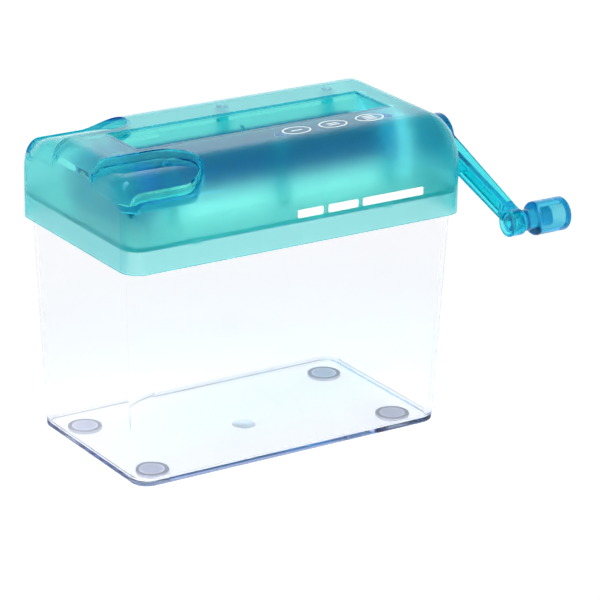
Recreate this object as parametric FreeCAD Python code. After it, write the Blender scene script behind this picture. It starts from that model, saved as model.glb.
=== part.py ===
import FreeCAD, Part
import math
import os

# Hand-crank mini paper shredder: a clear bin with a lift-off cutting head.
# Millimetres, +Z up, origin on the table under the centre of the bin.
# The long side lies along X, the crank is at the +X end, the front faces -Y.

# ---- driving dimensions ----
# overall
head_length = 178.0
head_width = 103.5
overall_height = 149.3

# head cover
cover_wall = 1.6
long_edge_radius = 22.0
end_edge_radius = 9.0
skirt_overlap = 10.3

# feed slot and funnel
slot_left_margin = 26.4
slot_right_margin = 18.7
slot_half_width = 13.4
slot_lip = 1.0
slot_edge_round = 0.8
funnel_slope = 38.0
throat_half_width = 2.2
throat_depth = 1.2
fin_thickness = 1.5
fin_rise = 2.3
fin_throat_margin = 0.4
fin_top_margin = 3.9
fin_root = 0.3

# thumb scoops at the -X end
scoop_length = 44.5
scoop_inner_y = 17.5
scoop_outer_margin = 5.0
scoop_depth = 4.5

# bin
bin_bottom_length_inset = 15.5
bin_bottom_width_inset = 9.8
bin_top_length_inset = 5.7
bin_side_clearance = 0.35
bin_wall = 1.8
bin_floor = 2.0
bin_corner_radius = 8.5
bin_bottom_round = 1.6
bin_inner_round = 2.2
bin_rest_gap = 0.3

# feet
foot_radius = 8.0
foot_height = 1.5
foot_dish_radius = 5.6
foot_dish_depth = 0.4
foot_round = 0.5
foot_from_centre_x = 65.9
foot_from_centre_y = 29.7

# base tray inside the cover
tray_thickness = 2.0
tray_edge_clearance = 0.15
tray_to_cutter_gap = 0.6
catch_tab_width = 4.0
catch_tab_height = 1.8
catch_tab_thickness = 1.2
catch_tab_gap = 0.6
catch_tab_left_x = -53.0
catch_tab_right_x = 48.0

# cutters
cutter_radius = 11.0
cutter_overlap = 1.0
cutter_thickness = 1.8
cutter_pitch = 4.4
cutter_to_funnel_gap = 0.8
cutter_end_margin = 3.5
cutter_notch_count = 6
cutter_notch_depth = 1.2
cutter_notch_width = 2.4
cutter_notch_start = 0.3
spacer_radius = 6.8
stack_gap = 0.02
hex_across_flats = 8.0
hex_fit_gap = 0.03

# shafts and bearings
journal_radius = 3.0
running_fit = 0.04
bush_radius = 4.6
bush_seat_fit = 0.02
bush_flange_radius = 6.2
bush_flange_thickness = 1.0
end_play = 0.3
drive_flat = 2.2
drive_fit = 0.04
clip_groove_radius = 2.3
clip_radius = 4.6
clip_thickness = 0.8
clip_side_gap = 0.1
clip_mouth = 3.2
clip_to_gear_gap = 0.2
clip_to_plate_gap = 0.4
shaft_past_clip = 1.2

# opening in the tray that the strips fall through
strip_opening_reach = 6.6

# side plates
plate_thickness = 3.0
plate_to_funnel_gap = 2.0
plate_half_width = 21.0
plate_top_margin = 1.2
plate_foot_length = 6.0
plate_foot_width = 8.0
plate_foot_height = 3.0
plate_corner_cut = 6.0

# gears
gear_teeth = 20
gear_width = 5.5
gear_side_gap = 0.8
gear_backlash = 0.4
gear_tip_share = 0.75
gear_root_share = 1.25
gear_pressure_angle = 20.0
gear_recess = 1.4
gear_rim_wall = 1.4
gear_hub_wall = 1.8

# stripper combs
comb_bar_width = 3.1
comb_bar_height = 3.4
comb_tine_thickness = 1.4
comb_spacer_gap = 0.6
comb_boss_gap = 0.3
comb_tine_drop = 2.5
comb_tine_angles = (10.0, 26.0, 42.0)

# screws
boss_radius = 2.8
boss_to_cutter_gap = 0.6
boss_left_margin = 35.3
boss_right_margin = 26.9
screw_radius = 1.25
screw_hole_gap = 0.2
screw_thread_fit = 0.02
screw_head_radius = 2.4
screw_head_height = 1.5
screw_head_round = 0.6
screw_cross_reach = 1.3
screw_cross_half_width = 0.3
screw_cross_depth = 0.7
case_screw_length = 9.0
plate_screw_length = 2.4

# crank
crank_radius = 73.5
crank_rest_angle = 16.8
crank_hub_radius = 10.8
crank_hub_gap = 1.5
crank_hub_length = 13.5
crank_hub_round = 0.6
crank_barrel_radius = 6.0
crank_barrel_reach = 9.0
crank_wall_gap = 0.8
crank_arm_offset = 4.0
crank_arm_thickness = 9.0
crank_arm_thin_end = 5.3
crank_top_at_hub = 8.4
crank_top_at_knob = 5.4
crank_bottom_at_hub = 9.0
crank_bottom_at_neck = 4.5
crank_bottom_at_waist = 1.1
crank_bottom_at_knob = 2.6
crank_neck_share = 0.17
crank_waist_share = 0.41
crank_pocket_share = 0.87
crank_web_thickness = 2.4
crank_flange = 1.6
crank_screw_head_radius = 3.4
crank_screw_head_height = 2.0
crank_screw_reach = 8.0
crank_screw_seat_wall = 2.5
crank_cross_depth = 1.1
crank_cross_reach = 2.0
crank_cross_half_width = 0.4
crank_boss_radius = 6.2
crank_boss_start = 2.5
crank_boss_length = 7.0
crank_boss_round = 0.5

# knob
knob_radius = 7.9
knob_length = 17.5
knob_gap = 0.5
knob_collar_radius = 5.0
knob_collar_length = 6.5
knob_round = 1.4
knob_pin_radius = 3.6
knob_pin_fit = 0.08
knob_pin_bore = 2.1
knob_pin_slot = 1.3
knob_socket_radius = 4.4
knob_socket_depth = 15.3
knob_core_length = 8.0
knob_socket_fit = 0.02
snap_lip_radius = 4.5
snap_lip_length = 1.6
snap_seat_radius = 5.0
snap_seat_depth = 2.6
snap_lip_gap = 0.15
snap_lip_round = 0.7

# ---- derived positions ----
half_length = head_length / 2.0
half_width = head_width / 2.0
slope = math.radians(funnel_slope)

axis_y = cutter_radius - cutter_overlap / 2.0
slope_reach = cutter_radius + cover_wall + cutter_to_funnel_gap
axis_drop = (slope_reach + math.sin(slope) * (slot_half_width - axis_y)) / math.cos(slope)
axis_z = overall_height - slot_lip - axis_drop

tray_top = axis_z - cutter_radius - tray_to_cutter_gap
tray_bottom = tray_top - tray_thickness
skirt_bottom = tray_bottom - skirt_overlap
bin_top = tray_bottom - bin_rest_gap

slot_left = -half_length + slot_left_margin
slot_right = half_length - slot_right_margin
slot_centre = (slot_left + slot_right) / 2.0

left_plate_inner = slot_left - cover_wall - plate_to_funnel_gap
left_plate_outer = left_plate_inner - plate_thickness
right_plate_inner = slot_right + cover_wall + plate_to_funnel_gap
right_plate_outer = right_plate_inner + plate_thickness

hex_left = left_plate_inner + bush_flange_thickness + end_play
hex_right = right_plate_inner - bush_flange_thickness - end_play

boss_y = axis_y + cutter_radius + boss_to_cutter_gap + boss_radius
boss_columns = [
    -half_length + boss_left_margin,
    (boss_left_margin - boss_right_margin) / 2.0,
    half_length - boss_right_margin,
]

usable_length = slot_right - slot_left - 2.0 * cutter_end_margin
cutter_count = int(usable_length / cutter_pitch)
first_cutter = slot_centre - (cutter_count - 1) * cutter_pitch / 2.0 - cutter_pitch / 4.0

gear_right = left_plate_outer - gear_side_gap
gear_left = gear_right - gear_width
opening_half_width = axis_y + strip_opening_reach
opening_left = hex_left + plate_foot_length
opening_right = hex_right - plate_foot_length

arm_inner = half_length + crank_arm_offset
arm_outer = arm_inner + crank_arm_thickness
arm_outer_at_knob = arm_inner + crank_arm_thin_end
hub_inner = half_length + crank_hub_gap
hub_outer = hub_inner + crank_hub_length
boss_inner = half_length + crank_boss_start
boss_outer = boss_inner + crank_boss_length
collar_start = boss_outer + knob_gap
knob_start = collar_start + knob_collar_length
knob_end = knob_start + knob_length
shaft_end = hub_outer - crank_screw_head_height - crank_screw_seat_wall

rest = math.radians(crank_rest_angle)
knob_y = -axis_y - crank_radius * math.cos(rest)
knob_z = axis_z - crank_radius * math.sin(rest)

front_y = -axis_y
rear_y = axis_y


# ---- small shape helpers ----
def box(x0, x1, y0, y1, z0, z1):
    return Part.makeBox(x1 - x0, y1 - y0, z1 - z0, FreeCAD.Vector(x0, y0, z0))


def rod_x(x0, x1, y, z, radius):
    return Part.makeCylinder(radius, x1 - x0, FreeCAD.Vector(x0, y, z), FreeCAD.Vector(1, 0, 0))


def rod_z(x, y, z0, z1, radius):
    return Part.makeCylinder(radius, z1 - z0, FreeCAD.Vector(x, y, z0), FreeCAD.Vector(0, 0, 1))


def face_of(points):
    vectors = [FreeCAD.Vector(*p) for p in points]
    vectors.append(vectors[0])
    return Part.Face(Part.makePolygon(vectors))


def prism_x(outline_yz, x0, x1):
    face = face_of([(x0, y, z) for y, z in outline_yz])
    return face.extrude(FreeCAD.Vector(x1 - x0, 0, 0))


def hex_rod(x0, x1, y, z, across_flats):
    corner = across_flats / 2.0 / math.cos(math.radians(30.0))
    outline = []
    for i in range(6):
        angle = math.radians(60.0 * i)
        outline.append((y + corner * math.cos(angle), z + corner * math.sin(angle)))
    return prism_x(outline, x0, x1)


def flatted_rod(x0, x1, y, z, radius, flat):
    rod = rod_x(x0, x1, y, z, radius)
    side = box(x0 - 1.0, x1 + 1.0, y - 2.0 * radius, y + 2.0 * radius, z + flat, z + 3.0 * radius)
    return rod.cut(side)


def rounded_outline(length, width, radius, z):
    hl = length / 2.0
    hw = width / 2.0
    k = radius * (1.0 - math.sqrt(0.5))
    v = FreeCAD.Vector
    edges = []
    corners = [(1, 1), (-1, 1), (-1, -1), (1, -1)]
    for index, (sx, sy) in enumerate(corners):
        if index % 2 == 0:
            start = v(sx * hl, sy * (hw - radius), z)
            end = v(sx * (hl - radius), sy * hw, z)
        else:
            start = v(sx * (hl - radius), sy * hw, z)
            end = v(sx * hl, sy * (hw - radius), z)
        middle = v(sx * (hl - k), sy * (hw - k), z)
        edges.append(Part.Arc(start, middle, end).toShape())
        nx, ny = corners[(index + 1) % 4]
        if index % 2 == 0:
            following = v(nx * (hl - radius), ny * hw, z)
        else:
            following = v(nx * hl, ny * (hw - radius), z)
        edges.append(Part.makeLine(end, following))
    return Part.Wire(edges)


def rounded_slab(length, width, radius, z0, z1):
    face = Part.Face(rounded_outline(length, width, radius, z0))
    return face.extrude(FreeCAD.Vector(0, 0, z1 - z0))


def fuse_all(shapes):
    return shapes[0].fuse(shapes[1:]) if len(shapes) > 1 else shapes[0]


def edges_where(shape, test):
    return [edge for edge in shape.Edges if test(edge)]


def ring_edge_below(height):
    return lambda edge: len(edge.Vertexes) == 1 and edge.Vertexes[0].Point.z < height


def ring_edge_left_of(x):
    return lambda edge: len(edge.Vertexes) == 1 and edge.Vertexes[0].Point.x < x


def ring_edge_right_of(x):
    return lambda edge: len(edge.Vertexes) == 1 and edge.Vertexes[0].Point.x > x


def ring_edge(edge):
    return len(edge.Vertexes) == 1


def save(name, shape):
    if len(shape.Solids) == 1:
        shape = shape.Solids[0]
    shape.exportStep("parts/" + name + ".step")
    print(name, "solids", len(shape.Solids), "valid", shape.isValid(), "volume", round(shape.Volume, 1))


# ---- head cover ----
def head_block(inset, bottom):
    # The cover's outside shape, or the same shape moved inwards all round.
    hl = half_length - inset
    hw = half_width - inset
    top = overall_height - inset
    radius = long_edge_radius - inset
    k = radius * (1.0 - math.sqrt(0.5))
    v = FreeCAD.Vector
    points = [
        v(-hl, -hw, bottom),
        v(-hl, -hw, top - radius),
        v(-hl, -hw + k, top - k),
        v(-hl, -hw + radius, top),
        v(-hl, hw - radius, top),
        v(-hl, hw - k, top - k),
        v(-hl, hw, top - radius),
        v(-hl, hw, bottom),
    ]
    edges = [
        Part.makeLine(points[0], points[1]),
        Part.Arc(points[1], points[2], points[3]).toShape(),
        Part.makeLine(points[3], points[4]),
        Part.Arc(points[4], points[5], points[6]).toShape(),
        Part.makeLine(points[6], points[7]),
        Part.makeLine(points[7], points[0]),
    ]
    block = Part.Face(Part.Wire(edges)).extrude(v(2.0 * hl, 0, 0))

    def end_edge(edge):
        at_end = all(abs(abs(p.Point.x) - hl) < 0.001 for p in edge.Vertexes)
        same_end = abs(edge.Vertexes[0].Point.x - edge.Vertexes[-1].Point.x) < 0.001
        low = all(abs(p.Point.z - bottom) < 0.001 for p in edge.Vertexes)
        return at_end and same_end and not low

    return block.makeFillet(end_edge_radius - inset, edges_where(block, end_edge))


def scoop_prism(side, grow, z0):
    # A U-shaped prism, open past the -X end, round at its inner end.
    outer_y = half_width - scoop_outer_margin
    radius = (outer_y - scoop_inner_y) / 2.0
    middle_y = side * (outer_y + scoop_inner_y) / 2.0
    centre_x = -half_length + scoop_length - radius
    reach = radius + grow
    top = overall_height + 2.0
    bar = box(-half_length - 3.0, centre_x, middle_y - reach, middle_y + reach, z0, top)
    nose = rod_z(centre_x, middle_y, z0, top, reach)
    return bar.fuse(nose).removeSplitter()


def funnel_height(y):
    return overall_height - slot_lip - (slot_half_width - abs(y)) * math.tan(slope)


def funnel_outline(wall, bottom, top):
    side = slot_half_width + wall
    throat = throat_half_width + wall
    drop = wall / math.cos(slope)
    shoulder = funnel_height(slot_half_width) + wall * math.tan(slope) - drop
    neck = funnel_height(throat_half_width) + wall * math.tan(slope) - drop
    return [
        (-side, top),
        (-side, shoulder),
        (-throat, neck),
        (-throat, bottom),
        (throat, bottom),
        (throat, neck),
        (side, shoulder),
        (side, top),
    ]


def centre_fin():
    low = throat_half_width + fin_throat_margin
    high = slot_half_width - fin_top_margin
    outline = [
        (high, funnel_height(high) - fin_root),
        (low, funnel_height(low) + fin_rise),
        (low, funnel_height(low) - fin_root),
    ]
    return prism_x(outline, boss_columns[1] - fin_thickness / 2.0, boss_columns[1] + fin_thickness / 2.0)


def top_cover():
    outer = head_block(0.0, skirt_bottom)
    inner = head_block(cover_wall, skirt_bottom - 5.0)
    shell = outer.cut(inner)

    extras = []
    pocket_base = overall_height - scoop_depth - end_edge_radius + 0.2
    lowered_outer = outer.translated(FreeCAD.Vector(0, 0, -scoop_depth))
    lowered_inner = inner.translated(FreeCAD.Vector(0, 0, -scoop_depth))
    for side in (-1, 1):
        thick = scoop_prism(side, cover_wall, pocket_base - 2.0 * cover_wall)
        extras.append(thick.common(outer).cut(lowered_inner))

    throat_bottom = funnel_height(throat_half_width) - throat_depth
    funnel = prism_x(
        funnel_outline(cover_wall, throat_bottom, overall_height - cover_wall / 2.0),
        slot_left - cover_wall,
        slot_right + cover_wall,
    )
    extras.append(funnel)

    for x in boss_columns:
        for side in (-1, 1):
            extras.append(rod_z(x, side * boss_y, tray_top, overall_height - cover_wall / 2.0, boss_radius))

    cover = shell.fuse(extras)

    slot = prism_x(funnel_outline(0.0, throat_bottom - 1.0, overall_height + 1.0), slot_left, slot_right)
    cover = cover.cut(slot)
    for side in (-1, 1):
        pocket = scoop_prism(side, 0.0, pocket_base).cut(lowered_outer)
        cover = cover.cut(pocket)

    pilot = screw_radius + screw_thread_fit
    for x in boss_columns:
        for side in (-1, 1):
            cover = cover.cut(rod_z(x, side * boss_y, tray_top - 1.0, tray_top + case_screw_length + 1.0, pilot))

    crank_hole = crank_barrel_radius + crank_wall_gap
    cover = cover.cut(rod_x(half_length - 4.0, half_length + 2.0, front_y, axis_z, crank_hole))
    cover = cover.fuse(centre_fin())

    def slot_edge(edge):
        points = [p.Point for p in edge.Vertexes]
        at_top = all(abs(p.z - overall_height) < 0.001 for p in points)
        in_slot = all(abs(p.y) < slot_half_width + 0.01 for p in points)
        straight = len(points) == 2 and edge.Length > slot_half_width
        return at_top and in_slot and straight

    return cover.makeFillet(slot_edge_round, edges_where(cover, slot_edge)).removeSplitter()


# ---- base tray ----
def screw_positions():
    return [(x, side * boss_y) for x in boss_columns for side in (-1, 1)]


def plate_screw_positions():
    left = left_plate_inner + plate_foot_length / 2.0
    right = right_plate_inner - plate_foot_length / 2.0
    y = plate_half_width - plate_foot_width / 2.0
    return [(x, side * y) for x in (left, right) for side in (-1, 1)]


def base_tray():
    inset = cover_wall + tray_edge_clearance
    length = head_length - 2.0 * inset
    width = head_width - 2.0 * inset
    tray = rounded_slab(length, width, end_edge_radius - inset, tray_bottom, tray_top)
    tray = tray.cut(
        box(
            opening_left,
            opening_right,
            -opening_half_width,
            opening_half_width,
            tray_bottom - 1.0,
            tray_top + 1.0,
        )
    )
    hole = screw_radius + screw_hole_gap
    for x, y in screw_positions() + plate_screw_positions():
        tray = tray.cut(rod_z(x, y, tray_bottom - 1.0, tray_top + 1.0, hole))
    tab_outer = half_width - cover_wall - bin_side_clearance - bin_wall - catch_tab_gap
    for x in (catch_tab_left_x, catch_tab_right_x):
        for side in (-1, 1):
            near = min(side * tab_outer, side * (tab_outer - catch_tab_thickness))
            far = max(side * tab_outer, side * (tab_outer - catch_tab_thickness))
            tab = box(
                x - catch_tab_width / 2.0,
                x + catch_tab_width / 2.0,
                near,
                far,
                tray_bottom - catch_tab_height,
                tray_bottom + 0.5,
            )
            tray = tray.fuse(tab)
    return tray.removeSplitter()


def upward_screw(x, y, length):
    head_low = tray_bottom - screw_head_height
    head = rod_z(x, y, head_low, tray_bottom, screw_head_radius)
    head = head.makeFillet(screw_head_round, edges_where(head, ring_edge_below(head_low + 0.1)))
    shank = rod_z(x, y, tray_bottom - 0.5, tray_top + length, screw_radius)
    cross_top = head_low + screw_cross_depth
    reach = screw_cross_reach
    half = screw_cross_half_width
    cross = box(x - reach, x + reach, y - half, y + half, head_low - 1.0, cross_top)
    cross = cross.fuse(box(x - half, x + half, y - reach, y + reach, head_low - 1.0, cross_top))
    return head.fuse(shank).cut(cross).removeSplitter()


def case_screws():
    return Part.makeCompound([upward_screw(x, y, case_screw_length) for x, y in screw_positions()])


def plate_screws():
    return Part.makeCompound([upward_screw(x, y, plate_screw_length) for x, y in plate_screw_positions()])


# ---- side plates and bushes ----
def side_plate(inner, outer, foot_direction):
    x0 = min(inner, outer)
    x1 = max(inner, outer)
    top = funnel_height(slot_half_width) - plate_top_margin - cover_wall - scoop_depth
    outline = [
        (-plate_half_width, tray_top),
        (plate_half_width, tray_top),
        (plate_half_width, top - plate_corner_cut),
        (plate_half_width - plate_corner_cut, top),
        (-plate_half_width + plate_corner_cut, top),
        (-plate_half_width, top - plate_corner_cut),
    ]
    plate = prism_x(outline, x0, x1)
    reach = inner + foot_direction * plate_foot_length
    for side in (-1, 1):
        near = side * (plate_half_width - plate_foot_width)
        far = side * plate_half_width
        foot = box(
            min(inner, reach),
            max(inner, reach),
            min(near, far),
            max(near, far),
            tray_top,
            tray_top + plate_foot_height,
        )
        plate = plate.fuse(foot)
    for y in (front_y, rear_y):
        plate = plate.cut(rod_x(x0 - 1.0, x1 + 1.0, y, axis_z, bush_radius + bush_seat_fit))
    pilot = screw_radius + screw_thread_fit
    for x, y in plate_screw_positions():
        plate = plate.cut(rod_z(x, y, tray_top - 1.0, tray_top + plate_screw_length + 0.2, pilot))
    return plate.removeSplitter()


def bush(y, inner, outer, direction):
    flange_far = inner + direction * bush_flange_thickness
    sleeve = rod_x(min(inner, outer), max(inner, outer), y, axis_z, bush_radius)
    flange = rod_x(min(inner, flange_far), max(inner, flange_far), y, axis_z, bush_flange_radius)
    low = min(outer, flange_far) - 1.0
    high = max(outer, flange_far) + 1.0
    bore = rod_x(low, high, y, axis_z, journal_radius + running_fit)
    return sleeve.fuse(flange).cut(bore).removeSplitter()


# ---- rollers ----
def clip_grooves(shaft, y, starts):
    for start in starts:
        ring = rod_x(start, start + clip_thickness + 2.0 * clip_side_gap, y, axis_z, journal_radius + 1.0)
        core = rod_x(start - 1.0, start + clip_thickness + 1.0, y, axis_z, clip_groove_radius)
        shaft = shaft.cut(ring.cut(core))
    return shaft


left_groove = gear_left - clip_to_gear_gap - clip_thickness - 2.0 * clip_side_gap
right_groove = right_plate_outer + clip_to_plate_gap


def roller_shaft(y, left_end, right_end, right_flat_from):
    shaft = hex_rod(hex_left, hex_right, y, axis_z, hex_across_flats)
    shaft = shaft.fuse(rod_x(left_end, right_end, y, axis_z, journal_radius))
    left_flat = box(
        left_end - 1.0, gear_right, y - 5.0, y + 5.0, axis_z + drive_flat, axis_z + 2.0 * journal_radius
    )
    shaft = shaft.cut(left_flat)
    if right_flat_from is not None:
        right_flat = box(
            right_flat_from, right_end + 1.0, y - 5.0, y + 5.0, axis_z + drive_flat, axis_z + 2.0 * journal_radius
        )
        shaft = shaft.cut(right_flat)
    return shaft


def front_shaft():
    barrel_start = half_length - crank_barrel_reach
    shaft = roller_shaft(front_y, left_groove - shaft_past_clip, shaft_end, barrel_start)
    thread = rod_x(shaft_end - crank_screw_reach, shaft_end + 1.0, front_y, axis_z, screw_radius + screw_thread_fit)
    return clip_grooves(shaft.cut(thread), front_y, [left_groove]).removeSplitter()


def rear_shaft():
    right_end = right_groove + clip_thickness + 2.0 * clip_side_gap + shaft_past_clip
    shaft = roller_shaft(rear_y, left_groove - shaft_past_clip, right_end, None)
    return clip_grooves(shaft, rear_y, [left_groove, right_groove]).removeSplitter()


def cutter_starts(offset):
    return [first_cutter + offset + i * cutter_pitch - cutter_thickness / 2.0 for i in range(cutter_count)]


def cutter_discs(y, offset):
    blank = rod_x(0.0, cutter_thickness, y, axis_z, cutter_radius)
    blank = blank.cut(hex_rod(-1.0, cutter_thickness + 1.0, y, axis_z, hex_across_flats + 2.0 * hex_fit_gap))
    for i in range(cutter_notch_count):
        angle = 2.0 * math.pi * i / cutter_notch_count + cutter_notch_start
        root = cutter_radius - cutter_notch_depth
        swing = cutter_notch_width / cutter_radius
        far = cutter_radius + 1.0
        outline = [
            (y + root * math.cos(angle), axis_z + root * math.sin(angle)),
            (y + far * math.cos(angle), axis_z + far * math.sin(angle)),
            (y + far * math.cos(angle + swing), axis_z + far * math.sin(angle + swing)),
        ]
        blank = blank.cut(prism_x(outline, -1.0, cutter_thickness + 1.0))
    return Part.makeCompound([blank.translated(FreeCAD.Vector(x, 0, 0)) for x in cutter_starts(offset)])


def spacer_rings(y, offset):
    starts = cutter_starts(offset)
    spans = [(hex_left, starts[0])]
    for i in range(cutter_count - 1):
        spans.append((starts[i] + cutter_thickness, starts[i + 1]))
    spans.append((starts[-1] + cutter_thickness, hex_right))
    rings = []
    for x0, x1 in spans:
        ring = rod_x(x0 + stack_gap, x1 - stack_gap, y, axis_z, spacer_radius)
        bore = hex_rod(x0 - 1.0, x1 + 1.0, y, axis_z, hex_across_flats + 2.0 * hex_fit_gap)
        rings.append(ring.cut(bore))
    return Part.makeCompound(rings)


def involute(angle):
    return math.tan(angle) - angle


def gear(y, turn):
    pitch_radius = axis_y
    module = 2.0 * pitch_radius / gear_teeth
    pressure = math.radians(gear_pressure_angle)
    base_radius = pitch_radius * math.cos(pressure)
    tip = pitch_radius + gear_tip_share * module
    root = pitch_radius - gear_root_share * module
    step = 2.0 * math.pi / gear_teeth
    pitch_half = step / 4.0 - gear_backlash / 4.0 / pitch_radius

    flank = [(root, pitch_half + involute(pressure) + 0.02)]
    for share in (0.0, 0.25, 0.5, 0.75, 1.0):
        radius = base_radius + (tip - base_radius) * share
        angle = math.acos(base_radius / radius)
        flank.append((radius, pitch_half + involute(pressure) - involute(angle)))
    outline = []
    for i in range(gear_teeth):
        centre = i * step + turn
        for radius, half in flank:
            outline.append((y + radius * math.cos(centre - half), axis_z + radius * math.sin(centre - half)))
        for radius, half in reversed(flank):
            outline.append((y + radius * math.cos(centre + half), axis_z + radius * math.sin(centre + half)))
    wheel = prism_x(outline, gear_left, gear_right)
    for x0, x1 in ((gear_left, gear_left + gear_recess), (gear_right - gear_recess, gear_right)):
        ring = rod_x(x0, x1, y, axis_z, root - gear_rim_wall)
        recess = ring.cut(rod_x(x0, x1, y, axis_z, journal_radius + gear_hub_wall))
        wheel = wheel.cut(recess)
    bore = flatted_rod(
        gear_left - 1.0, gear_right + 1.0, y, axis_z, journal_radius + drive_fit, drive_flat + drive_fit
    )
    return wheel.cut(bore)


def clip(y, start):
    x0 = start + clip_side_gap
    x1 = x0 + clip_thickness
    ring = rod_x(x0, x1, y, axis_z, clip_radius)
    ring = ring.cut(rod_x(x0 - 1.0, x1 + 1.0, y, axis_z, clip_groove_radius + 0.02))
    mouth = box(x0 - 1.0, x1 + 1.0, y - clip_mouth / 2.0, y + clip_mouth / 2.0, axis_z - clip_radius - 1.0, axis_z)
    return ring.cut(mouth)


# ---- stripper combs ----
def comb(side, offset):
    bar_far = boss_y - boss_radius - comb_boss_gap
    bar_near = bar_far - comb_bar_width
    x0 = opening_left
    x1 = opening_right
    low = tray_top
    high = tray_top + comb_bar_height
    bar = box(x0, x1, min(side * bar_near, side * bar_far), max(side * bar_near, side * bar_far), low, high)

    reach = spacer_radius + comb_spacer_gap

    def around(angle):
        a = math.radians(angle)
        return (side * (axis_y + reach * math.cos(a)), axis_z - reach * math.sin(a))

    outline = [
        (side * bar_far, high - 0.4),
        (side * bar_far, axis_z - comb_tine_drop),
        *[around(angle) for angle in comb_tine_angles],
        (side * bar_near, high - 0.4),
    ]
    tines = []
    for i in range(cutter_count - 1):
        x = first_cutter + offset + (i + 0.5) * cutter_pitch
        tines.append(prism_x(outline, x - comb_tine_thickness / 2.0, x + comb_tine_thickness / 2.0))
    return bar.fuse(tines).removeSplitter()


# ---- crank ----
def arm_point(along, across):
    # along runs from the shaft to the knob, across is the upper side of the arm.
    y = front_y - along * math.cos(rest) - across * math.sin(rest)
    z = axis_z - along * math.sin(rest) + across * math.cos(rest)
    return (y, z)


def beyond_arm_slant():
    # Everything outside the arm's slanting outer face.
    lean = (arm_outer - arm_outer_at_knob) / crank_radius
    below = -2.0 * crank_hub_radius
    near_along = below
    far_along = crank_radius - below
    near_y, near_z = arm_point(near_along, below)
    far_y, far_z = arm_point(far_along, below)
    far_x = 2.0 * arm_outer
    face = face_of([
        (arm_outer - lean * near_along, near_y, near_z),
        (arm_outer - lean * far_along, far_y, far_z),
        (far_x, far_y, far_z),
        (far_x, near_y, near_z),
    ])
    top_y, top_z = arm_point(far_along, -below)
    return face.extrude(FreeCAD.Vector(0, top_y - far_y, top_z - far_z))


def crank_arm():
    neck_along = crank_neck_share * crank_radius
    waist_along = crank_waist_share * crank_radius
    arm_outline = [
        arm_point(0.0, crank_top_at_hub),
        arm_point(crank_radius, crank_top_at_knob),
        arm_point(crank_radius, -crank_bottom_at_knob),
        arm_point(waist_along, -crank_bottom_at_waist),
        arm_point(neck_along, -crank_bottom_at_neck),
        arm_point(0.0, -crank_bottom_at_hub),
    ]
    arm = prism_x(arm_outline, arm_inner, 1.5 * arm_outer).cut(beyond_arm_slant())
    pocket_end = crank_pocket_share * crank_radius
    top_fall = (crank_top_at_hub - crank_top_at_knob) / crank_radius
    pocket_outline = [
        arm_point(neck_along, crank_top_at_hub - top_fall * neck_along - crank_flange),
        arm_point(pocket_end, crank_top_at_hub - top_fall * pocket_end - crank_flange),
        arm_point(pocket_end, crank_flange - crank_bottom_at_knob),
        arm_point(waist_along, crank_flange - crank_bottom_at_waist),
        arm_point(neck_along, crank_flange - crank_bottom_at_neck),
    ]
    web_inner = arm_inner + (crank_arm_thin_end - crank_web_thickness) / 2.0
    arm = arm.cut(prism_x(pocket_outline, arm_inner - 1.0, web_inner))
    arm = arm.cut(prism_x(pocket_outline, web_inner + crank_web_thickness, 1.5 * arm_outer))

    hub = rod_x(hub_inner, hub_outer, front_y, axis_z, crank_hub_radius)
    hub = hub.makeFillet(crank_hub_round, edges_where(hub, ring_edge_right_of(hub_outer - 0.1)))
    barrel = rod_x(half_length - crank_barrel_reach, hub_inner + 1.0, front_y, axis_z, crank_barrel_radius)
    boss = rod_x(boss_inner, boss_outer, knob_y, knob_z, crank_boss_radius)
    boss = boss.makeFillet(crank_boss_round, edges_where(boss, ring_edge))
    crank = arm.fuse([hub, barrel, boss])

    bore = flatted_rod(
        half_length - crank_barrel_reach - 1.0,
        shaft_end + 0.3,
        front_y,
        axis_z,
        journal_radius + drive_fit,
        drive_flat + drive_fit,
    )
    seat = hub_outer - crank_screw_head_height
    crank = crank.cut(bore)
    crank = crank.cut(rod_x(shaft_end - 1.0, seat + 1.0, front_y, axis_z, screw_radius + screw_hole_gap))
    crank = crank.cut(rod_x(seat, hub_outer + 1.0, front_y, axis_z, crank_screw_head_radius + 0.2))
    crank = crank.cut(rod_x(boss_inner - 1.0, boss_outer + 1.0, knob_y, knob_z, knob_pin_radius + knob_pin_fit))
    crank = crank.cut(rod_x(boss_inner - 1.0, boss_inner + snap_seat_depth, knob_y, knob_z, snap_seat_radius))
    return crank.removeSplitter()


def crank_screw():
    seat = hub_outer - crank_screw_head_height
    head = rod_x(seat, hub_outer, front_y, axis_z, crank_screw_head_radius)
    head = head.makeFillet(screw_head_round, edges_where(head, ring_edge_right_of(hub_outer - 0.1)))
    shank = rod_x(shaft_end - crank_screw_reach + 1.0, seat + 0.5, front_y, axis_z, screw_radius)
    cross_inner = hub_outer - crank_cross_depth
    reach = crank_cross_reach
    half = crank_cross_half_width
    cross = box(cross_inner, hub_outer + 1.0, front_y - reach, front_y + reach, axis_z - half, axis_z + half)
    cross = cross.fuse(
        box(cross_inner, hub_outer + 1.0, front_y - half, front_y + half, axis_z - reach, axis_z + reach)
    )
    return head.fuse(shank).cut(cross).removeSplitter()


# ---- knob ----
def knob_grip():
    grip = rod_x(knob_start, knob_end, knob_y, knob_z, knob_radius)
    grip = grip.makeFillet(knob_round, edges_where(grip, ring_edge))
    return grip.cut(rod_x(knob_start - 1.0, knob_start + knob_socket_depth, knob_y, knob_z, knob_socket_radius))


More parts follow.
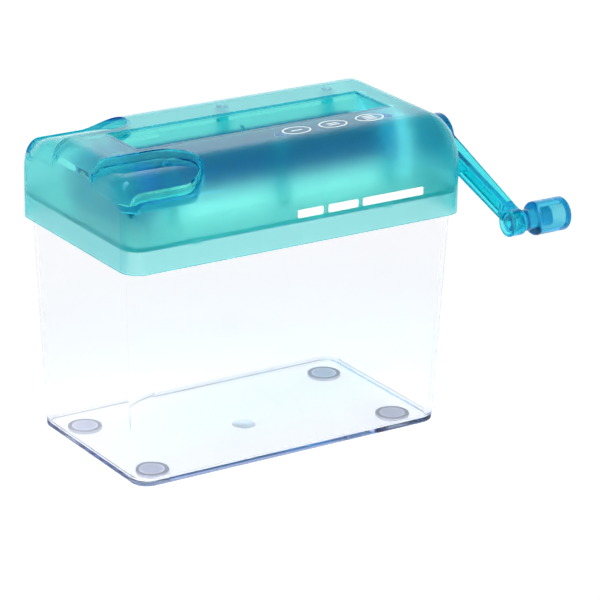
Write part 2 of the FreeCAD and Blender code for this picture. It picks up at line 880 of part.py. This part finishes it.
def knob_pin():
    lip_end = boss_inner + snap_seat_depth - snap_lip_gap
    lip_start = lip_end - snap_lip_length
    pin = rod_x(lip_start, collar_start + 0.5, knob_y, knob_z, knob_pin_radius)
    lip = rod_x(lip_start, lip_end, knob_y, knob_z, snap_lip_radius)
    lip = lip.makeFillet(snap_lip_round, edges_where(lip, ring_edge_left_of(lip_start + 0.1)))
    collar = rod_x(collar_start, knob_start, knob_y, knob_z, knob_collar_radius)
    core_end = knob_start + knob_core_length
    core = rod_x(knob_start - 0.5, core_end, knob_y, knob_z, knob_socket_radius - knob_socket_fit)
    pin = pin.fuse([lip, collar, core])
    pin = pin.cut(rod_x(lip_start - 1.0, collar_start + 0.5, knob_y, knob_z, knob_pin_bore))
    slit = box(
        lip_start - 1.0,
        boss_outer - 0.5,
        knob_y - knob_pin_slot / 2.0,
        knob_y + knob_pin_slot / 2.0,
        knob_z - 6.0,
        knob_z + 6.0,
    )
    return pin.cut(slit).removeSplitter()


# ---- bin and feet ----
def bin_block(inset, z0, z1):
    top_width = head_width - 2.0 * cover_wall - 2.0 * bin_side_clearance
    top_length = head_length - bin_top_length_inset
    low_width = head_width - bin_bottom_width_inset
    low_length = head_length - bin_bottom_length_inset

    def outline(z):
        share = (z - foot_height) / (bin_top - foot_height)
        length = low_length + (top_length - low_length) * share - 2.0 * inset
        width = low_width + (top_width - low_width) * share - 2.0 * inset
        return rounded_outline(length, width, bin_corner_radius - inset, z)

    return Part.makeLoft([outline(z0), outline(z1)], True, True)


def bin_shell():
    outside = bin_block(0.0, foot_height, bin_top)

    def low_edge(z):
        return lambda e: all(abs(p.Point.z - z) < 0.001 for p in e.Vertexes)

    outside = outside.makeFillet(bin_bottom_round, edges_where(outside, low_edge(foot_height)))
    floor_top = foot_height + bin_floor
    inside = bin_block(bin_wall, floor_top, bin_top + 1.0)
    inside = inside.makeFillet(bin_inner_round, edges_where(inside, low_edge(floor_top)))
    return outside.cut(inside)


def bin_feet():
    pads = []
    for sx in (-1, 1):
        for sy in (-1, 1):
            x = sx * foot_from_centre_x
            y = sy * foot_from_centre_y
            pad = rod_z(x, y, 0.0, foot_height, foot_radius)
            pad = pad.makeFillet(foot_round, edges_where(pad, ring_edge_below(0.1)))
            dish = rod_z(x, y, -1.0, foot_dish_depth, foot_dish_radius)
            pads.append(pad.cut(dish))
    return Part.makeCompound(pads)


# ---- write every piece ----
os.makedirs("parts", exist_ok=True)

save("bin_shell", bin_shell())
save("bin_feet", bin_feet())
save("top_cover", top_cover())
save("base_tray", base_tray())
save("case_screws", case_screws())
save("left_side_plate", side_plate(left_plate_inner, left_plate_outer, 1.0))
save("right_side_plate", side_plate(right_plate_inner, right_plate_outer, -1.0))
save("plate_screws", plate_screws())
save("front_left_bush", bush(front_y, left_plate_inner, left_plate_outer, 1.0))
save("rear_left_bush", bush(rear_y, left_plate_inner, left_plate_outer, 1.0))
save("front_right_bush", bush(front_y, right_plate_inner, right_plate_outer, -1.0))
save("rear_right_bush", bush(rear_y, right_plate_inner, right_plate_outer, -1.0))
save("front_comb", comb(-1, 0.0))
save("rear_comb", comb(1, cutter_pitch / 2.0))
save("front_shaft", front_shaft())
save("front_cutters", cutter_discs(front_y, 0.0))
save("front_spacers", spacer_rings(front_y, 0.0))
save("front_gear", gear(front_y, 0.0))
save("front_clip", clip(front_y, left_groove))
save("rear_shaft", rear_shaft())
save("rear_cutters", cutter_discs(rear_y, cutter_pitch / 2.0))
save("rear_spacers", spacer_rings(rear_y, cutter_pitch / 2.0))
save("rear_gear", gear(rear_y, math.pi / gear_teeth))
save("rear_clips", Part.makeCompound([clip(rear_y, left_groove), clip(rear_y, right_groove)]))
save("crank_arm", crank_arm())
save("crank_screw", crank_screw())
save("knob_grip", knob_grip())
save("knob_pin", knob_pin())
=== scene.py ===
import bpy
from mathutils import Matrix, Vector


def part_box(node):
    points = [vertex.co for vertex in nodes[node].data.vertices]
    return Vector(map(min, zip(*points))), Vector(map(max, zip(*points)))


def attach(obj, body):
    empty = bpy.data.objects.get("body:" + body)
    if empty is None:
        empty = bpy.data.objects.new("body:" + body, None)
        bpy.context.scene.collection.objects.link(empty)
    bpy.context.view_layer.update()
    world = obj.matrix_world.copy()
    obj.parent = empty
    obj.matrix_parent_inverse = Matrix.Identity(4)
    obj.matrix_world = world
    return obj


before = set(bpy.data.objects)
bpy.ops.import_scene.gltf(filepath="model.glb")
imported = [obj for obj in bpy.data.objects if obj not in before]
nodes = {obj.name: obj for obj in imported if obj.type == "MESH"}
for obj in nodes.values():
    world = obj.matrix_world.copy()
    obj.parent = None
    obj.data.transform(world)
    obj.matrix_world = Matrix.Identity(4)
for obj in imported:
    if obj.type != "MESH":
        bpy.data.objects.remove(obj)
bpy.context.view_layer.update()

import math

import bmesh
import bpy
from mathutils import Matrix, Vector

mm = 0.001
coverLow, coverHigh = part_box("top_cover")

studio = {
    "cameraPosition": (-0.7365, -1.1850, 0.5778),
    "cameraAzimuth": -32.984,
    "cameraElevation": 20.27,
    "cameraRoll": 0.906,
    "lens": 192.0,
    "sensorWidth": 36.0,
    "nearestSeen": 0.05,
    "farthestSeen": 40.0,
    "floorSize": 6.0,
    "floorColour": (0.90, 0.90, 0.905),
    "floorRoughness": 0.9,
    "floorGlow": 0.57,
    "horizonLight": 1.35,
    "overheadLight": 0.07,
    "horizonEdge": 0.45,
    "overheadEdge": 0.75,
    "mostBounces": 96,
    "mostClearSkins": 32,
}
white = (1.0, 1.0, 1.0, 1.0)

# position, aim, width and height in metres, power in watts, what it lights
softboxes = {
    "insideBox": ((-0.30, -0.90, 0.45), (0.0, 0.0, 0.12), (0.40, 0.40), 11.0, "paleInside"),
    "keyBox": ((-0.75, -0.75, 1.05), (0.0, 0.0, 0.12), (0.55, 0.55), 9.0, "object"),
    "topStrip": ((-0.10, 0.25, 0.95), (0.0, 0.0, 0.12), (0.70, 0.16), 2.2, "object"),
    "leftStrip": ((-0.95, -0.10, 0.60), (0.0, 0.0, 0.12), (0.16, 0.70), 1.6, "object"),
    "frontStrip": ((0.35, -1.15, 0.75), (0.0, 0.0, 0.12), (0.60, 0.14), 1.6, "object"),
}


def addCamera():
    azimuth = math.radians(studio["cameraAzimuth"])
    elevation = math.radians(studio["cameraElevation"])
    roll = math.radians(studio["cameraRoll"])
    back = Vector((
        math.sin(azimuth) * math.cos(elevation),
        -math.cos(azimuth) * math.cos(elevation),
        math.sin(elevation),
    ))
    right = Vector((math.cos(azimuth), math.sin(azimuth), 0.0))
    up = back.cross(right)
    tiltedRight = right * math.cos(roll) + up * math.sin(roll)
    tiltedUp = back.cross(tiltedRight)
    data = bpy.data.cameras.new("studioCamera")
    data.lens = studio["lens"]
    data.sensor_width = studio["sensorWidth"]
    data.clip_start = studio["nearestSeen"]
    data.clip_end = studio["farthestSeen"]
    camera = bpy.data.objects.new("studioCamera", data)
    turn = Matrix((tiltedRight, tiltedUp, back)).transposed().to_4x4()
    camera.matrix_world = Matrix.Translation(Vector(studio["cameraPosition"])) @ turn
    bpy.context.collection.objects.link(camera)
    bpy.context.scene.camera = camera


# the lamps light only the object, so that the floor stays an even white,
# and one of them lights only the pale pieces under the cover
litByLamps = {name: bpy.data.collections.new(name + "LitByLamps") for name in ("object", "paleInside")}
for node in nodes.values():
    litByLamps["object"].objects.link(node)
for name in ("front_comb", "rear_comb", "right_side_plate"):
    litByLamps["paleInside"].objects.link(nodes[name])


def addSoftbox(name, position, aim, size, power, lights):
    data = bpy.data.lights.new(name, "AREA")
    data.shape = "RECTANGLE"
    data.size = size[0]
    data.size_y = size[1]
    data.energy = power
    light = bpy.data.objects.new(name, data)
    light.location = position
    light.rotation_mode = "QUATERNION"
    light.rotation_quaternion = (Vector(aim) - Vector(position)).to_track_quat("-Z", "Y")
    bpy.context.collection.objects.link(light)
    light.light_linking.receiver_collection = litByLamps[lights]


def addFloor():
    mesh = bpy.data.meshes.new("studioFloor")
    grid = bmesh.new()
    bmesh.ops.create_grid(grid, x_segments=2, y_segments=2, size=studio["floorSize"])
    grid.to_mesh(mesh)
    grid.free()
    floor = bpy.data.objects.new("studioFloor", mesh)
    paint, _, shader = newMaterial("studioFloorPaint")
    shader.inputs["Base Color"].default_value = (*studio["floorColour"], 1.0)
    shader.inputs["Roughness"].default_value = studio["floorRoughness"]
    shader.inputs["Specular IOR Level"].default_value = 0.0
    shader.inputs["Emission Color"].default_value = white
    shader.inputs["Emission Strength"].default_value = studio["floorGlow"]
    mesh.materials.append(paint)
    bpy.context.collection.objects.link(floor)


def addWorld():
    # pale light all round, fading to a dim ceiling, so that rounded tops keep their colour
    world = bpy.data.worlds.new("studioWorld")
    world.use_nodes = True
    tree = world.node_tree
    sky = tree.nodes["Background"]
    sky.inputs["Color"].default_value = white
    place = tree.nodes.new("ShaderNodeTexCoord")
    axes = tree.nodes.new("ShaderNodeSeparateXYZ")
    tree.links.new(place.outputs["Generated"], axes.inputs["Vector"])
    fade = spread(
        tree, axes.outputs["Z"],
        studio["horizonLight"], studio["overheadLight"],
        studio["horizonEdge"], studio["overheadEdge"],
    )
    tree.links.new(fade, sky.inputs["Strength"])
    world.cycles.sampling_method = "NONE"
    scene = bpy.context.scene
    scene.world = world
    scene.view_settings.view_transform = "Standard"
    # light that runs along inside the bin's floor and walls turns back many times
    scene.cycles.max_bounces = studio["mostBounces"]
    scene.cycles.glossy_bounces = studio["mostBounces"]
    scene.cycles.transmission_bounces = studio["mostBounces"]
    scene.cycles.transparent_max_bounces = studio["mostClearSkins"]


def newMaterial(name):
    material = bpy.data.materials.new(name)
    material.use_nodes = True
    tree = material.node_tree
    return material, tree, tree.nodes["Principled BSDF"]


def calc(tree, operation, *values):
    node = tree.nodes.new("ShaderNodeMath")
    node.operation = operation
    for socket, value in zip(node.inputs, values):
        if isinstance(value, (int, float)):
            socket.default_value = value
        else:
            tree.links.new(value, socket)
    return node.outputs[0]


def minus(tree, first, second):
    return calc(tree, "SUBTRACT", first, second)


def sizeOf(tree, value):
    return calc(tree, "ABSOLUTE", value)


def pastZero(tree, value):
    return calc(tree, "MAXIMUM", value, 0.0)


def diagonal(tree, across, along):
    squares = [calc(tree, "POWER", side, 2.0) for side in (across, along)]
    return calc(tree, "SQRT", calc(tree, "ADD", *squares))


def objectAxes(tree):
    place = tree.nodes.new("ShaderNodeTexCoord")
    axes = tree.nodes.new("ShaderNodeSeparateXYZ")
    tree.links.new(place.outputs["Object"], axes.inputs["Vector"])
    return axes.outputs["X"], axes.outputs["Y"], axes.outputs["Z"]


def objectNoise(tree, scale, detail=3.0, stretch=(1.0, 1.0, 1.0)):
    place = tree.nodes.new("ShaderNodeTexCoord")
    squeeze = tree.nodes.new("ShaderNodeMapping")
    squeeze.inputs["Scale"].default_value = stretch
    noise = tree.nodes.new("ShaderNodeTexNoise")
    noise.inputs["Scale"].default_value = scale
    noise.inputs["Detail"].default_value = detail
    tree.links.new(place.outputs["Object"], squeeze.inputs["Vector"])
    tree.links.new(squeeze.outputs["Vector"], noise.inputs["Vector"])
    return noise.outputs["Fac"]


def spread(tree, source, low, high, fromLow=0.0, fromHigh=1.0):
    node = tree.nodes.new("ShaderNodeMapRange")
    node.inputs["From Min"].default_value = fromLow
    node.inputs["From Max"].default_value = fromHigh
    node.inputs["To Min"].default_value = low
    node.inputs["To Max"].default_value = high
    tree.links.new(source, node.inputs["Value"])
    return node.outputs["Result"]


def spreadAbout(tree, source, middle, share):
    return spread(tree, source, middle * (1.0 - share), middle * (1.0 + share))


def mixColours(tree, share, colourA, colourB):
    mix = tree.nodes.new("ShaderNodeMix")
    mix.data_type = "RGBA"
    tree.links.new(share, mix.inputs["Factor"])
    for socket, colour in ((mix.inputs["A"], colourA), (mix.inputs["B"], colourB)):
        if isinstance(colour, tuple):
            socket.default_value = (*colour, 1.0)
        else:
            tree.links.new(colour, socket)
    return mix.outputs["Result"]


def addBump(tree, source, shader, strength, distance=0.2 * mm):
    bump = tree.nodes.new("ShaderNodeBump")
    bump.inputs["Strength"].default_value = strength
    bump.inputs["Distance"].default_value = distance
    tree.links.new(source, bump.inputs["Height"])
    tree.links.new(bump.outputs["Normal"], shader.inputs["Normal"])


def letLampsThrough(tree, shader, tint=(1.0, 1.0, 1.0)):
    # thin clear walls pass lamp light straight on, as the real ones nearly do
    path = tree.nodes.new("ShaderNodeLightPath")
    passing = tree.nodes.new("ShaderNodeBsdfTransparent")
    passing.inputs["Color"].default_value = (*tint, 1.0)
    blend = tree.nodes.new("ShaderNodeMixShader")
    tree.links.new(path.outputs["Is Shadow Ray"], blend.inputs["Fac"])
    tree.links.new(shader.outputs["BSDF"], blend.inputs[1])
    tree.links.new(passing.outputs["BSDF"], blend.inputs[2])
    tree.links.new(blend.outputs["Shader"], tree.nodes["Material Output"].inputs["Surface"])


# sheen tints reflections, lampTint tints lamp light on its way through, and
# dye is what one metre of plastic takes from red, green and blue light
plastics = {
    "bin": {
        "surface": (0.965, 0.960, 0.965), "ior": 1.45, "rough": 0.02, "ripple": 0.03,
        "dye": (8.0, 6.0, 2.0), "sheen": (1.0, 1.0, 1.0), "lampTint": (1.0, 1.0, 1.0),
        # the floor's surface colour is painted shade, darker than the walls' own plastic
        "shadedFloorSurface": (0.79, 0.78, 0.81), "floorUpTo": 4.0 * mm, "floorFade": 1.0 * mm,
    },
    "cover": {
        "surface": (0.85, 0.955, 0.875), "ior": 1.36, "rough": 0.04, "ripple": 0.05,
        "dye": (400.0, 48.0, 14.0), "sheen": (0.05, 0.70, 1.0), "lampTint": (0.92, 0.95, 0.95),
        "frost": 0.60,
    },
    "tray": {
        "surface": (0.64, 0.95, 0.86), "ior": 1.36, "rough": 0.30, "ripple": 0.05,
        "dye": (60.0, 4.0, 3.0), "sheen": (0.10, 0.80, 0.80), "lampTint": (0.60, 0.95, 0.95),
    },
    "crank": {
        "surface": (0.48, 0.94, 0.90), "ior": 1.34, "rough": 0.26, "ripple": 0.05,
        "dye": (900.0, 72.0, 28.0), "sheen": (0.30, 0.70, 1.0), "lampTint": (0.30, 0.90, 1.0),
    },
    "knob": {
        "surface": (0.95, 0.985, 0.950), "ior": 1.34, "rough": 0.18, "ripple": 0.05,
        "dye": (270.0, 70.0, 30.0), "sheen": (0.30, 0.80, 1.0), "lampTint": (0.50, 0.95, 1.0),
    },
}
moulding = {"handlingScale": 60.0, "handlingSpread": 0.4, "rippleScale": 22.0, "rippleDetail": 1.0}

# the moulding's own shape, which tells its polished outside from its frosted inside
coverShape = {
    "longEdgeRadius": 22.0 * mm,
    "endEdgeRadius": 9.0 * mm,
    "scoopDepth": 4.5 * mm,
    "scoopEnd": -38.0 * mm,
    "scoopSide": 47.5 * mm,
    "slotHalfWidth": 13.4 * mm,
    "slotLip": 1.0 * mm,
    "slotReach": 75.0 * mm,
    "funnelSlope": math.radians(38.0),
    "polishedDepth": 0.4 * mm,
    "frostedDepth": 0.9 * mm,
}


def depthUnderOutside(tree, x, y, z):
    longRadius = coverShape["longEdgeRadius"]
    endRadius = coverShape["endEdgeRadius"]
    acrossEdge = pastZero(tree, minus(tree, sizeOf(tree, y), coverHigh[1] - longRadius))
    upEdge = pastZero(tree, minus(tree, z, coverHigh[2] - longRadius))
    fromSide = minus(tree, longRadius, diagonal(tree, acrossEdge, upEdge))
    fromEnd = minus(tree, coverHigh[0], sizeOf(tree, x))
    intoSide = pastZero(tree, minus(tree, endRadius, fromSide))
    intoEnd = pastZero(tree, minus(tree, endRadius, fromEnd))
    return sizeOf(tree, minus(tree, endRadius, diagonal(tree, intoSide, intoEnd)))


def fromScoops(tree, x, y, z):
    lowered = depthUnderOutside(tree, x, y, calc(tree, "ADD", z, coverShape["scoopDepth"]))
    pastEnd = pastZero(tree, minus(tree, x, coverShape["scoopEnd"]))
    pastSide = pastZero(tree, minus(tree, sizeOf(tree, y), coverShape["scoopSide"]))
    return calc(tree, "ADD", calc(tree, "ADD", pastEnd, pastSide), lowered)


def fromSlotWalls(tree, x, y, z):
    slope = coverShape["funnelSlope"]
    fromLip = minus(tree, coverShape["slotHalfWidth"], sizeOf(tree, y))
    drop = calc(tree, "MULTIPLY", fromLip, math.tan(slope))
    funnelTop = minus(tree, coverHigh[2] - coverShape["slotLip"], drop)
    funnel = calc(tree, "MULTIPLY", sizeOf(tree, minus(tree, z, funnelTop)), math.cos(slope))
    nearer = calc(tree, "MINIMUM", funnel, sizeOf(tree, fromLip))
    pastSlot = pastZero(tree, minus(tree, sizeOf(tree, x), coverShape["slotReach"]))
    return calc(tree, "ADD", pastSlot, nearer)


def frostedShare(tree):
    # 0 on the polished skin, in the scoops and on the slot's walls, 1 on the frosted inside
    x, y, z = objectAxes(tree)
    skin = depthUnderOutside(tree, x, y, z)
    nearest = calc(tree, "MINIMUM", skin, fromScoops(tree, x, y, z))
    nearest = calc(tree, "MINIMUM", nearest, fromSlotWalls(tree, x, y, z))
    return spread(tree, nearest, 0.0, 1.0, coverShape["polishedDepth"], coverShape["frostedDepth"])


def clearPlastic(name, look, frostShare=None):
    # moulded see-through plastic: its colour builds up with the thickness that light crosses
    material, tree, shader = newMaterial(name)
    shader.inputs["Base Color"].default_value = (*look["surface"], 1.0)
    shader.inputs["Transmission Weight"].default_value = 1.0
    shader.inputs["IOR"].default_value = look["ior"]
    shader.inputs["Specular Tint"].default_value = (*look["sheen"], 1.0)
    handling = objectNoise(tree, moulding["handlingScale"])
    polished = spreadAbout(tree, handling, look["rough"], moulding["handlingSpread"])
    if frostShare is None:
        tree.links.new(polished, shader.inputs["Roughness"])
    else:
        frost = calc(tree, "MULTIPLY", frostShare(tree), look["frost"])
        tree.links.new(calc(tree, "MAXIMUM", polished, frost), shader.inputs["Roughness"])
    ripple = objectNoise(tree, moulding["rippleScale"], moulding["rippleDetail"])
    addBump(tree, ripple, shader, look["ripple"])
    letLampsThrough(tree, shader, look["lampTint"])
    most = max(look["dye"])
    dye = tree.nodes.new("ShaderNodeVolumeAbsorption")
    dye.inputs["Color"].default_value = (*[1.0 - part / most for part in look["dye"]], 1.0)
    dye.inputs["Density"].default_value = most
    tree.links.new(dye.outputs["Volume"], tree.nodes["Material Output"].inputs["Volume"])
    return material


def binPlastic():
    # the bin's floor is painted darker than its walls: painted shade for the shade that falls under the
    # bin
    look = plastics["bin"]
    material = clearPlastic("clearBinPlastic", look)
    tree = material.node_tree
    height = objectAxes(tree)[2]
    wallFrom = look["floorUpTo"] + look["floorFade"]
    wallShare = spread(tree, height, 0.0, 1.0, look["floorUpTo"], wallFrom)
    tint = mixColours(tree, wallShare, look["shadedFloorSurface"], look["surface"])
    tree.links.new(tint, tree.nodes["Principled BSDF"].inputs["Base Color"])
    return material


solidLook = {"grainScale": 400.0, "grainDetail": 4.0, "darkest": 0.85, "spread": 0.2, "bump": 0.15}

# colour, roughness and the pieces that wear it
nylons = {
    "combNylon": ((0.97, 0.84, 0.74), 0.4, ("front_comb", "rear_comb")),
    "blueNylon": ((0.02, 0.20, 0.36), 0.4, ("left_side_plate", "front_left_bush", "rear_left_bush")),
    "paleNylon": ((0.80, 0.82, 0.80), 0.4, ("right_side_plate", "front_right_bush", "rear_right_bush")),
    "gearNylon": ((0.06, 0.32, 0.44), 0.4, ("front_gear", "rear_gear")),
    "blueSpacerPlastic": ((0.001, 0.15, 0.62), 0.45, ("front_spacers", "rear_spacers")),
}


def solidPlastic(name, colour, rough):
    material, tree, shader = newMaterial(name)
    grain = objectNoise(tree, solidLook["grainScale"], solidLook["grainDetail"])
    dark = tuple(part * solidLook["darkest"] for part in colour)
    tree.links.new(mixColours(tree, grain, dark, colour), shader.inputs["Base Color"])
    tree.links.new(spreadAbout(tree, grain, rough, solidLook["spread"]), shader.inputs["Roughness"])
    addBump(tree, grain, shader, solidLook["bump"])
    return material


# fine rings run round the turned pieces, so their noise is packed close along the shafts
turnedLook = {"rings": (2200.0, 60.0, 60.0), "ringDetail": 3.0, "darkest": 0.7, "spread": 0.3, "bump": 0.2}
steels = {
    "bluedCutterSteel": ((0.002, 0.15, 0.55), 0.35, ("front_cutters", "rear_cutters")),
    "shaftSteel": ((0.6, 0.62, 0.65), 0.3, ("front_shaft", "rear_shaft")),
    "platedSteel": (
        (0.72, 0.73, 0.75), 0.25,
        ("case_screws", "plate_screws", "crank_screw", "front_clip", "rear_clips"),
    ),
}


def turnedSteel(name, colour, rough):
    material, tree, shader = newMaterial(name)
    shader.inputs["Metallic"].default_value = 1.0
    rings = objectNoise(tree, 1.0, turnedLook["ringDetail"], turnedLook["rings"])
    dark = tuple(part * turnedLook["darkest"] for part in colour)
    tree.links.new(mixColours(tree, rings, dark, colour), shader.inputs["Base Color"])
    tree.links.new(spreadAbout(tree, rings, rough, turnedLook["spread"]), shader.inputs["Roughness"])
    addBump(tree, rings, shader, turnedLook["bump"])
    return material


padLook = {
    "fromCentre": (65.9 * mm, 29.7 * mm),
    "middle": (0.60, 0.64, 0.75),
    # the ring's near-white colour is a painted highlight on the pad's moulded ring
    "line": (0.95, 0.96, 0.99),
    "rim": (0.32, 0.36, 0.46),
    "lineRadius": 5.6 * mm,
    "lineWidth": 0.5 * mm,
    "lineCore": 0.15 * mm,
    "clearness": 0.35,
    "ior": 1.4,
    "grainScale": 500.0,
    "smoothest": 0.25,
    "roughest": 0.4,
    "bump": 0.1,
}


def padRubber():
    # soft clear rubber: a pale disc, a moulded ring round it painted near-white as a painted highlight,
    # and a grey rim
    material, tree, shader = newMaterial("softPadRubber")
    x, y = objectAxes(tree)[:2]
    offX = minus(tree, sizeOf(tree, x), padLook["fromCentre"][0])
    offY = minus(tree, sizeOf(tree, y), padLook["fromCentre"][1])
    radius = diagonal(tree, offX, offY)
    fromLine = sizeOf(tree, minus(tree, radius, padLook["lineRadius"]))
    highlightRingShare = spread(tree, fromLine, 1.0, 0.0, padLook["lineCore"], padLook["lineWidth"])
    rimShare = calc(tree, "GREATER_THAN", radius, padLook["lineRadius"])
    body = mixColours(tree, rimShare, padLook["middle"], padLook["rim"])
    tree.links.new(mixColours(tree, highlightRingShare, body, padLook["line"]), shader.inputs["Base Color"])
    shader.inputs["Transmission Weight"].default_value = padLook["clearness"]
    shader.inputs["IOR"].default_value = padLook["ior"]
    grain = objectNoise(tree, padLook["grainScale"])
    roughness = spread(tree, grain, padLook["smoothest"], padLook["roughest"])
    tree.links.new(roughness, shader.inputs["Roughness"])
    addBump(tree, grain, shader, padLook["bump"])
    letLampsThrough(tree, shader)
    return material


def paintNodes(names, material):
    for name in names:
        mesh = nodes[name].data
        mesh.materials.clear()
        mesh.materials.append(material)


def paintFrame():
    paintNodes(["bin_shell"], binPlastic())
    paintNodes(["bin_feet"], padRubber())
    paintNodes(["top_cover"], clearPlastic("tealCoverPlastic", plastics["cover"], frostedShare))
    paintNodes(["base_tray"], clearPlastic("tealTrayPlastic", plastics["tray"]))
    paintNodes(["crank_arm"], clearPlastic("blueCrankPlastic", plastics["crank"]))
    paintNodes(["knob_grip", "knob_pin"], clearPlastic("blueKnobPlastic", plastics["knob"]))
    for name, (colour, rough, names) in nylons.items():
        paintNodes(names, solidPlastic(name, colour, rough))
    for name, (colour, rough, names) in steels.items():
        paintNodes(names, turnedSteel(name, colour, rough))


def newPiece(name, mesh):
    piece = bpy.data.objects.new(name, mesh)
    bpy.context.collection.objects.link(piece)
    litByLamps["object"].objects.link(piece)
    return piece


def plateFrom(name, plates, thickness, lift, material, body):
    # a thin plate for each outline, or a ring where a hole's outline comes with it
    mesh = bpy.data.meshes.new(name)
    build = bmesh.new()
    for outline, hole in plates:
        rims = [outline, hole] if hole else [outline]
        lower = [[build.verts.new(point) for point in rim] for rim in rims]
        upper = [[build.verts.new(Vector(point) + lift * thickness) for point in rim] for rim in rims]
        bands = list(zip(lower, upper))
        if hole:
            bands += [lower, upper]
        else:
            build.faces.new(lower[0])
            build.faces.new(upper[0])
        for rimA, rimB in bands:
            for first in range(len(outline)):
                second = (first + 1) % len(outline)
                build.faces.new((rimA[first], rimA[second], rimB[second], rimB[first]))
    bmesh.ops.recalc_face_normals(build, faces=build.faces)
    build.to_mesh(mesh)
    build.free()
    mesh.materials.append(material)
    piece = newPiece(name, mesh)
    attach(piece, body)


def roundedOutline(halfWidth, halfHeight, radius, steps=8):
    points = []
    for quarter, (signU, signV) in enumerate(((1, 1), (-1, 1), (-1, -1), (1, -1))):
        middleU = signU * (halfWidth - radius)
        middleV = signV * (halfHeight - radius)
        for step in range(steps + 1):
            angle = math.tau / 4 * (quarter + step / steps)
            points.append((middleU + radius * math.cos(angle), middleV + radius * math.sin(angle)))
    return points


printLook = {
    "thin": (0.88, 0.93, 0.93),
    "full": (0.97, 0.99, 0.99),
    "speckleScale": 900.0,
    "speckleDetail": 2.0,
    "smoothest": 0.45,
    "roughest": 0.60,
}


def printedInk():
    material, tree, shader = newMaterial("whitePrint")
    speckle = objectNoise(tree, printLook["speckleScale"], printLook["speckleDetail"])
    colour = mixColours(tree, speckle, printLook["thin"], printLook["full"])
    roughness = spread(tree, speckle, printLook["smoothest"], printLook["roughest"])
    tree.links.new(colour, shader.inputs["Base Color"])
    tree.links.new(roughness, shader.inputs["Roughness"])
    return material


# plain white bars printed on the front: middle and length of each along the head
frontStripes = {
    "bars": ((4.0 * mm, 13.5 * mm), (21.5 * mm, 16.0 * mm), (48.5 * mm, 33.0 * mm)),
    "height": 119.8 * mm,
    "halfTall": 1.9 * mm,
    "corner": 0.7 * mm,
    "thickness": 0.05 * mm,
}


def addFrontStripes():
    plates = []
    for middle, length in frontStripes["bars"]:
        flat = roundedOutline(length / 2, frontStripes["halfTall"], frontStripes["corner"])
        outline = [(middle + u, coverLow[1], frontStripes["height"] + v) for u, v in flat]
        plates.append((outline, None))
    outward = Vector((0.0, -1.0, 0.0))
    plateFrom("frontStripes", plates, frontStripes["thickness"], outward, printedInk(), "head")


# three plain oval badges printed on the front rail
topBadges = {
    "middles": (13.2 * mm, 32.8 * mm, 52.7 * mm),
    "fromCentre": -24.8 * mm,
    "halfWide": 7.2 * mm,
    "halfDeep": 5.0 * mm,
    "line": 0.65 * mm,
    "barHalfWide": 3.0 * mm,
    "barHalfDeep": 0.45 * mm,
    "barCorner": 0.2 * mm,
    "barSpacing": 2.1 * mm,
    "thickness": 0.04 * mm,
    "steps": 48,
}


def ovalOutline(wide, deep, steps):
    angles = [math.tau * step / steps for step in range(steps)]
    return [(wide * math.cos(angle), deep * math.sin(angle)) for angle in angles]


def badgeShapes(bars):
    wide, deep, line, steps = (topBadges[key] for key in ("halfWide", "halfDeep", "line", "steps"))
    shapes = [(ovalOutline(wide, deep, steps), ovalOutline(wide - line, deep - line, steps))]
    for bar in range(bars):
        shift = (bar - (bars - 1) / 2) * topBadges["barSpacing"]
        flat = roundedOutline(topBadges["barHalfWide"], topBadges["barHalfDeep"], topBadges["barCorner"])
        shapes.append(([(u, v + shift) for u, v in flat], None))
    return shapes


def addTopBadges():
    # the first badge holds one bar, the second two and the third three
    plates = []
    for badge, middle in enumerate(topBadges["middles"]):
        for shape in badgeShapes(badge + 1):
            plates.append([
                rim and [(middle + u, topBadges["fromCentre"] + v, coverHigh[2]) for u, v in rim]
                for rim in shape
            ])
    upward = Vector((0.0, 0.0, 1.0))
    plateFrom("topBadges", plates, topBadges["thickness"], upward, printedInk(), "head")


# where the bin's plastic was let into its mould: a low clear dome on the floor inside
gateMark = {
    "place": (-3.1 * mm, -7.5 * mm),
    "radius": 5.5 * mm,
    "height": 0.20 * mm,
    "rings": 5,
    "steps": 40,
    "floorTop": 3.52 * mm,
    "haze": (0.86, 0.93, 0.98),
    "clearness": 0.9,
    "ior": 1.05,
    "grainScale": 300.0,
    "smoothest": 0.3,
    "roughest": 0.5,
}


def gateMarkHaze():
    material, tree, shader = newMaterial("gateMarkHaze")
    shader.inputs["Base Color"].default_value = (*gateMark["haze"], 1.0)
    shader.inputs["Transmission Weight"].default_value = gateMark["clearness"]
    shader.inputs["IOR"].default_value = gateMark["ior"]
    haze = objectNoise(tree, gateMark["grainScale"])
    roughness = spread(tree, haze, gateMark["smoothest"], gateMark["roughest"])
    tree.links.new(roughness, shader.inputs["Roughness"])
    letLampsThrough(tree, shader)
    return material


def addGateMark():
    mesh = bpy.data.meshes.new("gateMark")
    build = bmesh.new()
    centreX, centreY = gateMark["place"]
    steps = gateMark["steps"]
    turns = [math.tau * step / steps for step in range(steps)]
    loops = []
    for ring in range(gateMark["rings"]):
        share = 1.0 - ring / gateMark["rings"]
        reach = share * gateMark["radius"]
        height = gateMark["floorTop"] + gateMark["height"] * math.cos(share * math.pi / 2)
        loops.append([
            build.verts.new((centreX + reach * math.cos(turn), centreY + reach * math.sin(turn), height))
            for turn in turns
        ])
    crown = build.verts.new((centreX, centreY, gateMark["floorTop"] + gateMark["height"]))
    build.faces.new(loops[0][::-1])
    for step in range(steps):
        following = (step + 1) % steps
        for lower, upper in zip(loops, loops[1:]):
            build.faces.new((lower[step], lower[following], upper[following], upper[step]))
        build.faces.new((loops[-1][step], loops[-1][following], crown))
    bmesh.ops.recalc_face_normals(build, faces=build.faces)
    build.to_mesh(mesh)
    build.free()
    mesh.shade_smooth()
    mesh.materials.append(gateMarkHaze())
    piece = newPiece("gateMark", mesh)
    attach(piece, "bin")


addCamera()
addWorld()
addFloor()
for name, setting in softboxes.items():
    addSoftbox(name, *setting)
print("studio ready")
paintFrame()
print("frame painted")
addFrontStripes()
addTopBadges()
addGateMark()
print("details added")
